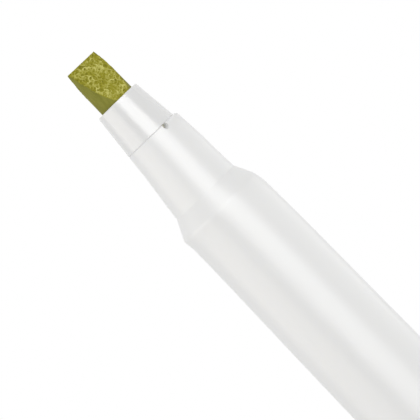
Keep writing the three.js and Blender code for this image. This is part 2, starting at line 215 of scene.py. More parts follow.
# Injection-moulded polypropylene. The melt froze against a polished steel mould, which gives a soft gloss
# with a faint orange peel, slow waves where the wall shrank, and a little light that comes through the wall.
def mouldedPolypropylene(name, values):
    material, tree, shader, inMm = startMaterial(name, values)
    flow = addNode(tree, "ShaderNodeMapping", {"Vector": inMm, "Scale": (1, 1, values["flowStretch"])})
    cloud = addNode(
        tree,
        "ShaderNodeTexNoise",
        {"Vector": flow.outputs["Vector"], "Scale": 1 / values["flowSize"], "Detail": 3},
    )
    tone = addNode(
        tree,
        "ShaderNodeMix",
        {0: cloud.outputs["Fac"], 6: colour(values["flowColour"]), 7: colour(values["colour"])},
        data_type="RGBA",
    )
    tree.links.new(tone.outputs[2], shader.inputs["Base Color"])
    gloss = addNode(
        tree,
        "ShaderNodeMapRange",
        {
            "Value": cloud.outputs["Fac"],
            "From Min": noiseRange[0],
            "From Max": noiseRange[1],
            "To Min": values["roughness"] - values["roughnessSpread"],
            "To Max": values["roughness"] + values["roughnessSpread"],
        },
    )
    tree.links.new(gloss.outputs["Result"], shader.inputs["Roughness"])
    waves = addNode(
        tree, "ShaderNodeTexNoise", {"Vector": inMm, "Scale": 1 / values["sinkSize"], "Detail": 1}
    )
    peel = addNode(
        tree, "ShaderNodeTexNoise", {"Vector": inMm, "Scale": 1 / values["peelSize"], "Detail": 2}
    )
    slow = addNode(
        tree, "ShaderNodeBump", {"Height": waves.outputs["Fac"], "Distance": values["sinkDepth"] * mm}
    )
    fine = addNode(
        tree,
        "ShaderNodeBump",
        {
            "Height": peel.outputs["Fac"],
            "Distance": values["peelDepth"] * mm,
            "Normal": slow.outputs["Normal"],
        },
    )
    tree.links.new(fine.outputs["Normal"], shader.inputs["Normal"])
    shader.inputs["Subsurface Weight"].default_value = values["glow"]
    shader.inputs["Subsurface Radius"].default_value = values["glowReach"]
    shader.inputs["Subsurface Scale"].default_value = values["glowDepth"] * mm
    return material


whitePlastic = {
    "colour": "#e9e9e8",
    "flowColour": "#e6e6e5",
    "flowSize": 5,  # mm across the faint clouds where the melt flowed
    "flowStretch": 0.3,  # they are drawn out along the pen
    "roughness": 0.4,
    "roughnessSpread": 0.03,
    "ior": 1.49,
    "sinkSize": 6,  # mm across the slow waves
    "sinkDepth": 0.012,
    "peelSize": 0.5,  # mm across the orange peel
    "peelDepth": 0.0008,
    "glow": 0.15,  # share of the light that goes into the wall
    "glowDepth": 0.8,  # mm
    "glowReach": (1, 0.95, 0.8),  # of red, green and blue, as shares of that depth
}
# The holder is small and thick, so its mould is polished better and its wall hardly sinks
# Its colours are a little darker than the barrel's, as painted shade that offsets the extra lamp light its
# gloss catches
holderPlastic = dict(whitePlastic, colour="#e5e5e4", flowColour="#e2e2e1", roughness=0.28, sinkDepth=0.004)
olivePlastic = dict(
    whitePlastic, colour="#8a8c2c", flowColour="#83852a", roughness=0.32, ior=1.5, glow=0.08
)
naturalPlastic = dict(
    whitePlastic, colour="#dfdfd6", flowColour="#d8d8ce", roughness=0.45, ior=1.51, glow=0.4, glowDepth=1.5
)
# Ink creeps along the holder's spigot and leaves a faint yellow tint, which shows through the vent. The
# spigot's colour is also lighter than the holder's, as painted light that lifts the shade inside the vent.
inkTintAndPaintedLightPlastic = dict(holderPlastic, colour="#f1efe0", flowColour="#e6e3cf")
whitePolypropylene = mouldedPolypropylene("white_polypropylene", whitePlastic)
holderPolypropylene = mouldedPolypropylene("polished_white_polypropylene", holderPlastic)
inkTintAndPaintedLightPolypropylene = mouldedPolypropylene("ink_tint_and_painted_light_polypropylene", inkTintAndPaintedLightPlastic)
olivePolypropylene = mouldedPolypropylene("olive_polypropylene", olivePlastic)
# Unpigmented polyethylene is softer and milkier than polypropylene, with less gloss
naturalPolyethylene = mouldedPolypropylene("natural_polyethylene", naturalPlastic)
print("Plastics mixed")

# Nib: polyester fibre, bundled, bonded with resin, ground to a rod and soaked with ink.
# Where it is cut to the chisel the fibre ends curl over; the colour paints shade in the pores between them
# and a highlight on their tops.
cutNib = {
    "colour": "#989329",
    "paintedPoreShadeColour": "#75721a",
    "paintedCurlHighlightColour": "#d0cc74",
    "roughness": 0.75,
    "ior": 1.45,
    "specular": 0.08,  # the fibre is too rough for a clear reflection
    "poreFloor": 0.12,  # mm below the cut, where the painted pore shade is darkest
    "curlFoot": 0.035,  # mm above it, where the painted highlight on the curls starts
    "curlTop": 0.17,  # where the painted highlight is brightest
    "mottleSize": 1.1,  # mm across the patches of uneven ink
    "mottleShift": 0.3,  # mm, how far they shift what counts as high
    "speckSize": 0.2,
    "speckShift": 0.12,
    "speckDepth": 0.01,
}
# The rod's ground side is closed by its resin skin, so it is darker and smoother
nibSide = {
    "colour": "#969440",
    "streakColour": "#6c6b10",
    "roughness": 0.6,
    "ior": 1.47,
    "specular": 0.12,
    "streakSize": 0.4,  # mm across the fibres, which run along the rod
    "streakStretch": 0.25,
    "streakDepth": 0.006,  # mm
}
nibShape = {
    "diameter": 5.1,
    "edgeSetback": 0.06,  # the rod tapers this much a side from the holder to the edge
    "edgeThickness": 0.25,
    "bevelAngle": 18,  # degrees, each side
    "pointLength": 1.6,  # at the back end, which draws ink from the reservoir
    "pointDiameter": 2.6,
    "grain": 0.048,  # mm, the size of the remeshed faces
    "poreDepth": 0.05,
    "poreSize": 0.2,
    "sideDepth": 0.012,
    "poresFrom": 0.2,  # behind the holder's front
    "cutDepth": 0.17,  # how far below a cut's plane its faces go
    "cutInset": 0.1,  # how far from the rod's side they end
    "cutRise": 0.01,  # a face this far above the plane is on the cut in any case
    "shankFrom": 1,  # behind the holder's front, where the rod is out of sight
    "shankFaces": 0.05,  # share of the faces that is kept there
}
nibLow, nibHigh = span("nib")
tipHeight = nibHigh.z
holderFront = span("nib_holder")[1].z


# How far each point stands above the cut that is nearer, in mm, from coordinates in mm
def heightAboveCut(tree, inMm):
    angle = math.radians(nibShape["bevelAngle"])
    folded = addNode(tree, "ShaderNodeVectorMath", {0: inMm}, operation="ABSOLUTE")
    outwards = addNode(
        tree,
        "ShaderNodeVectorMath",
        {0: folded.outputs["Vector"], 1: (0, math.cos(angle), math.sin(angle))},
        operation="DOT_PRODUCT",
    )
    atCut = nibShape["edgeThickness"] / 2 * math.cos(angle) + tipHeight * math.sin(angle)
    return addNode(tree, "ShaderNodeMath", {0: outwards.outputs["Value"], 1: atCut}, operation="SUBTRACT")


def cutFibreMaterial(values):
    material, tree, shader, inMm = startMaterial("cut_ink_soaked_fibre", values)
    shader.inputs["Specular IOR Level"].default_value = values["specular"]
    height = heightAboveCut(tree, inMm)
    mottle = addNode(
        tree,
        "ShaderNodeTexNoise",
        {"Vector": inMm, "Scale": 1 / values["mottleSize"], "Detail": 3, "Roughness": 0.6},
    )
    specks = addNode(
        tree, "ShaderNodeTexNoise", {"Vector": inMm, "Scale": 1 / values["speckSize"], "Detail": 1}
    )
    # Uneven ink shifts what counts as high or low by a little
    uneven = addNode(
        tree,
        "ShaderNodeMath",
        {0: mottle.outputs["Fac"], 1: values["mottleShift"], 2: height.outputs["Value"]},
        operation="MULTIPLY_ADD",
    )
    speckled = addNode(
        tree,
        "ShaderNodeMath",
        {0: specks.outputs["Fac"], 1: values["speckShift"], 2: uneven.outputs["Value"]},
        operation="MULTIPLY_ADD",
    )
    # A noise is 0.5 on average
    middle = 0.5 * (values["mottleShift"] + values["speckShift"])
    # Painted shade: the colour darkens from its base towards the pore floor below the cut
    low = addNode(
        tree,
        "ShaderNodeMapRange",
        {"Value": speckled.outputs["Value"], "From Min": middle - values["poreFloor"], "From Max": middle},
    )
    ground = addNode(
        tree,
        "ShaderNodeMix",
        {0: low.outputs["Result"], 6: colour(values["paintedPoreShadeColour"]), 7: colour(values["colour"])},
        data_type="RGBA",
    )
    # Painted highlight: the colour lightens towards the curls' tops above the cut
    high = addNode(
        tree,
        "ShaderNodeMapRange",
        {
            "Value": speckled.outputs["Value"],
            "From Min": middle + values["curlFoot"],
            "From Max": middle + values["curlTop"],
        },
    )
    curled = addNode(
        tree,
        "ShaderNodeMix",
        {0: high.outputs["Result"], 6: ground.outputs[2], 7: colour(values["paintedCurlHighlightColour"])},
        data_type="RGBA",
    )
    tree.links.new(curled.outputs[2], shader.inputs["Base Color"])
    bump = addNode(
        tree, "ShaderNodeBump", {"Height": specks.outputs["Fac"], "Distance": values["speckDepth"] * mm}
    )
    tree.links.new(bump.outputs["Normal"], shader.inputs["Normal"])
    return material


def nibSideMaterial(values):
    material, tree, shader, inMm = startMaterial("ground_fibre_skin", values)
    shader.inputs["Specular IOR Level"].default_value = values["specular"]
    along = addNode(tree, "ShaderNodeMapping", {"Vector": inMm, "Scale": (1, 1, values["streakStretch"])})
    streaks = addNode(
        tree,
        "ShaderNodeTexNoise",
        {"Vector": along.outputs["Vector"], "Scale": 1 / values["streakSize"], "Detail": 3},
    )
    tone = addNode(
        tree,
        "ShaderNodeMix",
        {0: streaks.outputs["Fac"], 6: colour(values["streakColour"]), 7: colour(values["colour"])},
        data_type="RGBA",
    )
    tree.links.new(tone.outputs[2], shader.inputs["Base Color"])
    bump = addNode(
        tree,
        "ShaderNodeBump",
        {"Height": streaks.outputs["Fac"], "Distance": values["streakDepth"] * mm},
    )
    tree.links.new(bump.outputs["Normal"], shader.inputs["Normal"])
    return material


cutFibre = cutFibreMaterial(cutNib)
fibreSkin = nibSideMaterial(nibSide)

# Curled fibre ends. Several fibres bonded together curl as one, so each is thicker than a fibre.
curlShape = {
    "seed": 11,
    "thickness": 0.21,  # mm
    "sides": 5,
    "steps": 8,
    # Each kind is its radius in mm and how far it bends in degrees
    "kinds": [(0.45, 290), (0.42, 180), (0.3, 190), (0.5, 150), (0.9, 60), (1.6, 30)],
    "count": 210,  # on each cut
    "reachBack": 0.5,  # behind the holder's front
    "lift": 0.015,
    "tilt": 16,  # degrees, at most
    "overhang": 0.02,  # past the rod's side, at most
    "tipMargin": 0.02,  # below the nib's edge, at least
}


# The rod's radius at a height, in mm
def rodRadius(height):
    share = max(0, (height - holderFront) / (tipHeight - holderFront))
    return nibShape["diameter"] / 2 - nibShape["edgeSetback"] * share


# One curled fibre end, lying flat round its own middle
def makeCurl(radius, bend, values):
    bpy.ops.object.select_all(action="DESELECT")
    bpy.ops.mesh.primitive_circle_add(
        vertices=values["sides"],
        radius=values["thickness"] / 2 * mm,
        fill_type="NGON",
        location=(radius * mm, 0, 0),
        rotation=(math.pi / 2, 0, 0),
    )
    bpy.ops.object.transform_apply()
    bpy.ops.object.mode_set(mode="EDIT")
    bpy.ops.mesh.select_all(action="SELECT")
    angle = math.radians(bend)
    bpy.ops.mesh.spin(steps=values["steps"], angle=angle, center=(0, 0, 0), axis=(0, 0, 1))
    tidyMesh()
    # The middle of the arc goes to the origin
    toMiddle = -radius * math.sin(angle / 2) / (angle / 2) * mm
    bpy.ops.transform.translate(value=(toMiddle * math.cos(angle / 2), -toMiddle * math.sin(angle / 2), 0))
    bpy.ops.object.mode_set(mode="OBJECT")
    return bpy.context.object


# Strews curled fibre ends over both cuts and joins them to the nib
def addCurls(nib, values):
    chance = random.Random(values["seed"])
    curls = [makeCurl(radius, bend, values) for radius, bend in values["kinds"]]
    slope = math.radians(nibShape["bevelAngle"])
    copies = []

    # Presses a point of a curl back to where the fibre ends
    def pressIn(point):
        x, y, z = point / mm
        z = min(z, tipHeight - values["tipMargin"])
        inwards = min(1, (rodRadius(z) + values["overhang"]) / math.hypot(x, y))
        return Vector((x * inwards, y * inwards, z)) * mm

    for side in (-1, 1):
        outwards = Vector((0, side * math.cos(slope), math.sin(slope)))
        across = Vector((1, 0, 0))
        onPlane = Matrix((across, outwards.cross(across), outwards)).transposed().to_4x4()
        placed = 0
        while placed < values["count"]:
            curl = chance.choice(curls)
            height = chance.uniform(holderFront - values["reachBack"], tipHeight)
            point = Vector((
                chance.uniform(-1, 1) * nibShape["diameter"] / 2,
                side * (nibShape["edgeThickness"] / 2 + (tipHeight - height) * math.tan(slope)),
                height,
            ))
            lean = math.radians(chance.uniform(-values["tilt"], values["tilt"]))
            place = (
                Matrix.Translation((point + outwards * values["lift"]) * mm)
                @ onPlane
                @ Matrix.Rotation(chance.uniform(0, math.tau), 4, "Z")
                @ Matrix.Rotation(lean, 4, "X")
            )
            if math.hypot(point.x, point.y) > rodRadius(height):
                continue
            placed += 1
            copy = curl.copy()
            copy.data = curl.data.copy()
            for vertex in copy.data.vertices:
                vertex.co = pressIn(place @ vertex.co)
            bpy.context.scene.collection.objects.link(copy)
            copies.append(copy)
    for curl in curls:
        bpy.data.objects.remove(curl)
    pickObject(nib)
    for copy in copies:
        copy.select_set(True)
    bpy.ops.object.join()


def makeNib(values):
    rod = values["diameter"] / 2
    backHeight = nibLow.z
    nib = turnPiece(
        "nib_fibre",
        [
            (0, backHeight),
            (values["pointDiameter"] / 2, backHeight),
            (rod, backHeight + values["pointLength"]),
            (rod, holderFront),
            (rod - values["edgeSetback"], tipHeight),
            (0, tipHeight),
        ],
    )
    angle = math.radians(values["bevelAngle"])
    for side in (-1, 1):
        bpy.ops.mesh.select_all(action="SELECT")
        bpy.ops.mesh.bisect(
            plane_co=(0, side * values["edgeThickness"] / 2 * mm, tipHeight * mm),
            plane_no=(0, side * math.cos(angle), math.sin(angle)),
            use_fill=True,
            clear_outer=True,
        )
    tidyMesh()
    pickObject(nib)
    addCurls(nib, curlShape)
    applyModifier(nib, "REMESH", mode="VOXEL", voxel_size=values["grain"] * mm)
    nib.data.materials.clear()
    nib.data.materials.append(cutFibre)
    nib.data.materials.append(fibreSkin)

    # A face is on a cut if it lies near the cut's plane, and inside the rod's side or above the plane
    def isCut(face):
        x, y, z = face.center / mm
        if z < holderFront - values["shankFrom"]:
            return False
        above = (abs(y) - values["edgeThickness"] / 2) * math.cos(angle)
        above += (z - tipHeight) * math.sin(angle)
        inRod = math.hypot(x, y) < rodRadius(z) - values["cutInset"]
        return above > -values["cutDepth"] and (inRod or above > values["cutRise"])

    cutPart = nib.vertex_groups.new(name="cut part")
    sidePart = nib.vertex_groups.new(name="side part")
    onCut = set()
    for face in nib.data.polygons:
        cut = isCut(face)
        face.material_index = 0 if cut else 1
        if cut:
            onCut.update(face.vertices)
    poresFrom = (holderFront - values["poresFrom"]) * mm
    shown = [v.index for v in nib.data.vertices if v.co.z > poresFrom]
    cutPart.add([i for i in shown if i in onCut], 1, "REPLACE")
    sidePart.add([i for i in shown if i not in onCut], 1, "REPLACE")
    for name, depth, group in (
        ("pores", values["poreDepth"], "cut part"),
        ("side", values["sideDepth"], "side part"),
    ):
        texture = bpy.data.textures.new(name, "CLOUDS")
        texture.noise_scale = values["poreSize"] * mm
        texture.noise_depth = 1
        # mid_level 1 only sinks the surface, so the nib stays inside its CAD box
        applyModifier(
            nib, "DISPLACE", texture=texture, texture_coords="LOCAL", strength=depth * mm,
            mid_level=1, vertex_group=group,
        )
    bpy.ops.object.mode_set(mode="EDIT")
    shankFrom = (holderFront - values["shankFrom"]) * mm
    pick(nib, "faces", lambda f: f.calc_center_median().z < shankFrom)
    bpy.ops.mesh.decimate(ratio=values["shankFaces"])
    pickObject(nib)
    nib.vertex_groups.clear()
    bpy.ops.object.shade_smooth()
    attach(nib, "pen")
    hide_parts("nib")
    print(nib.name, "done:", len(nib.data.polygons), "faces")


makeNib(nibShape)

# Barrel: neck, shoulder and body in one moulding
barrelLow, barrelHigh = span("barrel")
tailHeight = barrelLow.z
seamHeight = barrelHigh.z

vent = {
    "width": 0.8,
    "length": 0.75,  # how far behind the lip the scoop runs out of the wall
    "turn": 3,  # degrees, towards the clip
    "breakthrough": 1.1,  # how far past the wall's inner side it cuts at the lip
    "facets": 48,
    "cutterLength": 6,
    "grooveWidth": 0.7,
    "grooveDepth": 0.05,
    "grooveOverrun": 1,  # past the spigot's back end
}
barrelShape = {
    "neckFront": 4.095,  # radii
    "neckBack": 4.915,
    "bodyFront": 6.185,
    "bodyBack": 6.81,
    "bodyBulge": 0.2,
    "neckLength": 9.8,
    "shoulderLength": 2.6,
    "lipRound": 0.26,
    "neckFootRound": 0.45,
    "shoulderRound": 1.3,
    "tailRound": 0.25,
    "neckBore": 3.475,
    "boreFront": 4.88,
    "boreBack": 5.41,
    "boreConeDrop": 0.4,
    "boreStart": 0.8,  # behind the shoulder
    "tailBore": 5.56,
    "tailBoreLength": 8.05,
    "grooveRadius": 5.71,
    "grooveFrom": 2.35,  # from the tail
    "grooveTo": 3.65,
    "ribTop": 4.6,
    "ribFrom": 8.4,  # from the tail
    "ribSetback": 0.5,  # from the start of the bore
    "ribCount": 6,
    "ribHalfFacets": 2,  # a rib is this many facets wide, each side of its middle
    "sideSteps": 18,  # along the body's bulge
    "sideEnd": 1.5,  # behind the shoulder, where the bulge has its last point
    "neckSteps": 6,
    # The photograph shows the lip stand out more on its right, and the shoulder more on its left.
    # Each pair is mm behind the seam and mm to the right as the photograph is seen.
    "leans": [
        (0, 0.24),
        (2.2, 0.23),
        (9.6, -0.06),
        (10.3, -0.15),
        (12.3, -0.1),
        (14.5, 0.16),
        (22, 0.16),
        (36, 0.09),
        (60, 0),
    ],
}


# Moves each ring of the outside sideways by what the leans say for its height
def leanRings(piece, values, boreHeight):
    leans = values["leans"]
    leastLean = 0.001  # mm

    def isOutside(point, height):
        boreRadius = values["neckBore"] if height > boreHeight else values["boreBack"]
        onRing = abs(point.z / mm - height) < closeTo
        return onRing and point.xy.length / mm > boreRadius + testMargin

    mesh = bmesh.from_edit_mesh(piece.data)
    heights = sorted({round(v.co.z / mm, 3) for v in mesh.verts})
    for height in heights:
        behind = seamHeight - height
        for (fromMm, fromLean), (toMm, toLean) in zip(leans, leans[1:]):
            if fromMm <= behind < toMm:
                share = (behind - fromMm) / (toMm - fromMm)
                share = share * share * (3 - 2 * share)
                lean = fromLean + (toLean - fromLean) * share
                break
        else:
            continue
        # The lip's round starts flush with the holder all round, so it is fuller where the lip stands out
        if behind < values["lipRound"]:
            lean *= math.sqrt(1 - (1 - behind / values["lipRound"]) ** 2)
        if abs(lean) < leastLean:
            continue
        pick(piece, "verts", lambda v: isOutside(v.co, height))
        bpy.ops.transform.translate(value=viewSide * lean * mm)


def makeBarrel(values):
    neckBackHeight = seamHeight - values["neckLength"]
    shoulderHeight = neckBackHeight - values["shoulderLength"]
    boreHeight = shoulderHeight - values["boreStart"]
    ribFront = boreHeight - values["ribSetback"]
    ribBack = tailHeight + values["ribFrom"]
    boreEnd = tailHeight + values["tailBoreLength"]
    bodyLength = shoulderHeight - tailHeight

    def bodyRadius(share):
        straight = values["bodyBack"] + (values["bodyFront"] - values["bodyBack"]) * share
        return straight + 4 * values["bodyBulge"] * share * (1 - share)

    def boreAt(height):
        share = (height - boreEnd) / (boreHeight - boreEnd)
        return values["boreBack"] + (values["boreFront"] - values["boreBack"]) * share

    side = []
    for step in range(1, values["sideSteps"]):
        share = step / values["sideSteps"]
        side.append((bodyRadius(share), tailHeight + bodyLength * share))
    sideEnd = shoulderHeight - values["sideEnd"]
    side.append((bodyRadius((sideEnd - tailHeight) / bodyLength), sideEnd))
    neck = []
    for step in range(1, values["neckSteps"]):
        share = step / values["neckSteps"]
        neck.append((
            values["neckBack"] + (values["neckFront"] - values["neckBack"]) * share,
            neckBackHeight + values["neckLength"] * share,
        ))
    barrel = turnPiece(
        "barrel_moulding",
        [
            (values["tailBore"], tailHeight),
            (values["bodyBack"], tailHeight, values["tailRound"]),
            *side,
            (values["bodyFront"], shoulderHeight, values["shoulderRound"]),
            (values["neckBack"], neckBackHeight, values["neckFootRound"]),
            *neck,
            (values["neckFront"], seamHeight, values["lipRound"]),
            (values["neckBore"], seamHeight),
            (values["neckBore"], neckBackHeight - values["boreConeDrop"]),
            (values["boreFront"], boreHeight),
            (boreAt(ribFront), ribFront),
            (boreAt(ribBack), ribBack),
            (values["boreBack"], boreEnd),
            (values["tailBore"], boreEnd),
            (values["tailBore"], tailHeight + values["grooveTo"]),
            (values["grooveRadius"], tailHeight + values["grooveTo"]),
            (values["grooveRadius"], tailHeight + values["grooveFrom"]),
            (values["tailBore"], tailHeight + values["grooveFrom"]),
        ],
    )
    # Ribs along the bore, pulled in from its wall
    ribAngle = math.tau / values["ribCount"]

    def onRib(face):
        centre = face.calc_center_median()
        angle = math.atan2(centre.y, centre.x) % ribAngle
        nearest = min(angle, ribAngle - angle)
        return (
            nearest < values["ribHalfFacets"] * facet
            and centre.xy.length < (values["tailBore"] - testMargin) * mm
            and ribBack * mm < centre.z < ribFront * mm
        )

    pick(barrel, "faces", onRib)
    extrude(0, 0, 0)
    mesh = bmesh.from_edit_mesh(barrel.data)
    ribVerts = {v.index for v in mesh.verts if v.select}
    for height in (ribFront, ribBack):
        pick(barrel, "verts", lambda v: v.index in ribVerts and abs(v.co.z / mm - height) < closeTo)
        inwards = values["ribTop"] / boreAt(height)
        bpy.ops.transform.resize(value=(inwards, inwards, 1), center_override=(0, 0, height * mm))
    leanRings(barrel, values, boreHeight)
    tidyMesh()
    # The vent is a tilted round scoop: it goes through the wall at the lip and runs out further back
    lipRadius = values["neckBore"] - vent["breakthrough"]
    tilt = math.atan((values["neckFront"] - lipRadius) / vent["length"])
    scoopRadius = vent["width"] / 2
    middle = (
        0,
        -(lipRadius + scoopRadius * math.cos(tilt)) * mm,
        (seamHeight + scoopRadius * math.sin(tilt)) * mm,
    )
    pickObject(barrel)
    bpy.ops.mesh.primitive_cylinder_add(
        vertices=vent["facets"], radius=scoopRadius * mm, depth=vent["cutterLength"] * mm, location=middle
    )
    bpy.ops.object.transform_apply(location=True, rotation=False, scale=False)
    bpy.ops.object.mode_set(mode="EDIT")
    turnAbout("X", -tilt, middle)
    turnAbout("Z", math.radians(vent["turn"]))
    cutAway(barrel)
    finishPiece(barrel, "barrel", "pen", [whitePolypropylene])


makeBarrel(barrelShape)

# Nib holder: a short cone with a spigot that plugs into the neck
holderShape = {
    "bore": 2.6,
    "front": 3.225,
    "back": 3.845,
    "lipRound": 0.16,
    "boreRound": 0.1,
    "backRound": 0.06,
    "seamGap": 0.004,  # what shows as the fine line between holder and neck
    "spigot": 3.425,
    "spigotLead": 0.5,
}


def makeHolder(values):
    backHeight = span("nib_holder")[0].z
    spigotTop = seamHeight + values["seamGap"]
    holder = turnPiece(
        "nib_holder_moulding",
        [
            (values["bore"], backHeight),
            (values["spigot"] - values["spigotLead"], backHeight),
            (values["spigot"], backHeight + values["spigotLead"]),
            (values["spigot"], spigotTop),
            (values["back"], spigotTop, values["backRound"]),
            (values["front"], holderFront, values["lipRound"]),
            (values["bore"], holderFront, values["boreRound"]),
        ],
    )
    # The vent's groove runs the whole length of the spigot
    grooveLength = spigotTop - backHeight + vent["grooveOverrun"]
    pickObject(holder)
    bpy.ops.mesh.primitive_cube_add(size=mm)
    bpy.ops.object.mode_set(mode="EDIT")
    bpy.ops.transform.resize(value=(vent["grooveWidth"], 2 * vent["grooveDepth"], grooveLength))
    bpy.ops.transform.translate(value=(0, -values["spigot"] * mm, (spigotTop - grooveLength / 2) * mm))
    cutAway(holder)
    finishPiece(holder, "nib_holder", "pen", [holderPolypropylene, inkTintAndPaintedLightPolypropylene])
    # The spigot, seen only through the vent, takes the ink tint with its painted light
    for face in holder.data.polygons:
        if face.center.z < (seamHeight - testMargin) * mm:
            face.material_index = 1


makeHolder(holderShape)

# Tail plug: spigot with a snap bead, flange, and the boss that the cap is posted on
plugShape = {
    "boss": 4.915,
    "bossRound": 1,
    "bossWall": 1.4,
    "wall": 1.05,
    "flange": 6.81,
    "flangeRound": 0.3,
    "spigot": 5.51,
    "beadHeight": 0.15,
    "beadLength": 1.2,
    "beadSetback": 2.4,
    "ribCount": 4,
    "ribHalfFacets": 2,
    "ribReach": 2.4,
    "ribHeight": 5,
}


def makePlug(values):
    low, high = span("tail_plug")
    rimHeight = span("cap_shell")[1].z
    beadFoot = tailHeight + values["beadSetback"]
    hollow = values["spigot"] - values["wall"]
    bossHollow = values["boss"] - values["wall"]
    ribFoot = high.z - values["ribHeight"]
    plug = turnPiece(
        "tail_plug_moulding",
        [
            (0, low.z),
            (values["boss"], low.z, values["bossRound"]),
            (values["boss"], rimHeight),
            (values["flange"], rimHeight, values["flangeRound"]),
            (values["flange"], tailHeight, values["flangeRound"]),
            (values["spigot"], tailHeight),
            (values["spigot"], beadFoot),
            (values["spigot"] + values["beadHeight"], beadFoot + values["beadLength"] / 2),
            (values["spigot"], beadFoot + values["beadLength"]),
            (values["spigot"], high.z),
            (hollow, high.z),
            (hollow, ribFoot),
            (hollow, tailHeight),
            (bossHollow, tailHeight),
            (bossHollow, low.z + values["bossWall"]),
            (0, low.z + values["bossWall"]),
        ],
    )
    for i in range(values["ribCount"]):
        turn = math.tau * i / values["ribCount"]
        inwards = -Vector((math.cos(turn), math.sin(turn), 0))

        def onRib(face):
            centre = face.calc_center_median()
            angle = abs((math.atan2(centre.y, centre.x) - turn + math.pi) % math.tau - math.pi)
            return (
                angle < values["ribHalfFacets"] * facet
                and centre.xy.length < (hollow + testMargin) * mm
                and ribFoot * mm < centre.z < (high.z - testMargin) * mm
            )

        pick(plug, "faces", onRib)
        extrude(*(inwards * values["ribReach"]))
    tidyMesh()
    finishPiece(plug, "tail_plug", "pen", [olivePolypropylene])


makePlug(plugShape)

# Cap: shell with its clip in one moulding
capShape = {
    "crown": 5.995,
    "rim": 6.345,
    "crownRound": 0.8,
    "rimRound": 0.3,
    "mouth": 5.145,
    "mouthRound": 0.1,
    "bead": 4.995,
    "boreEnd": 4.845,
    "crownThickness": 1.4,
    "beadTop": 0.8,  # below the rim
    "beadLength": 1,
    "beadSlope": 0.3,
    "gateRadius": 0.8,  # the dimple at the crown's middle, where the melt came in
    "gateDepth": 0.15,
    "gateSlope": 0.2,
}
clipShape = {
    "halfFacets": 6,  # the clip is this many facets of the cap wide, each side of its middle
    "width": 3.6,
    "thickness": 1.4,
    "gap": 1.3,
    "start": 1.6,
    "length": 27,
    "rootLength": 4.5,
    "tipLength": 3.2,
    "tipThickness": 0.7,
    "tipGap": 0.3,
    "cornerRound": 0.9,
    "edgeRound": 0.3,
    "edgeSteps": 4,
    "flatAngle": 2,  # degrees, below which faces are one
    "edgeAngle": 35,  # above which an edge is rounded
}


